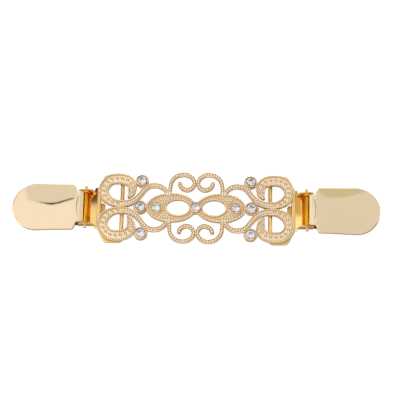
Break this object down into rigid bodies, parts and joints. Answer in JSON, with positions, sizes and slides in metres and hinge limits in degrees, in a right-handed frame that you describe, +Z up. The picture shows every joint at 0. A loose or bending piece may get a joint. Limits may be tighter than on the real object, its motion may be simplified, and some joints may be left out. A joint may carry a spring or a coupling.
{
  "type": "scarf buckle",
  "caption": "Pierced scroll ornament set with round clear stones, hooked at each end to the strap loop of a lever clip that grips a scarf or cardigan edge.",
  "frame": {"origin": "on the table under the middle of the ornament: the centre of the bounding box at its lowest height", "axes": "+X along the buckle towards the picture's right end, +Y across it towards the picture's top, +Z up from the table through the stones"},
  "size_m": [0.1504, 0.0304, 0.0058],
  "materials": {
    "cast_gold": "rose-gold plated casting with a satin front and bright beads",
    "polished_gold": "polished pale gold plating on stamped sheet",
    "stone": "clear faceted rhinestone with a foil back"
  },
  "bodies": {
    "ornament": {"ornament": "cast_gold", "stone_centre": "stone", "stone_eye_left": "stone", "stone_eye_right": "stone", "stone_mid_left": "stone", "stone_mid_right": "stone", "stone_upper_left": "stone", "stone_upper_right": "stone", "stone_lower_left": "stone", "stone_lower_right": "stone"},
    "clip_left": {"frame_left": "polished_gold", "pin_left": "polished_gold", "jaw_left": "polished_gold"},
    "clip_right": {"frame_right": "polished_gold", "pin_right": "polished_gold", "jaw_right": "polished_gold"},
    "lever_left": {"cover_left": "polished_gold"},
    "lever_right": {"cover_right": "polished_gold"}
  },
  "joints": [
    {"name": "clip_left_swing", "type": "hinge", "parent": "ornament", "child": "clip_left", "pos_m": [-0.0303, 0, 0.0017], "axis": [0, -1, 0], "range_deg": [0, 120]},
    {"name": "clip_right_swing", "type": "hinge", "parent": "ornament", "child": "clip_right", "pos_m": [0.0303, 0, 0.0017], "axis": [0, 1, 0], "range_deg": [0, 120]},
    {"name": "lever_left_lift", "type": "hinge", "parent": "clip_left", "child": "lever_left", "pos_m": [-0.0451, 0, 0.003], "axis": [0, 1, 0], "range_deg": [0, 95]},
    {"name": "lever_right_lift", "type": "hinge", "parent": "clip_right", "child": "lever_right", "pos_m": [0.0451, 0, 0.003], "axis": [0, -1, 0], "range_deg": [0, 95]}
  ]
}
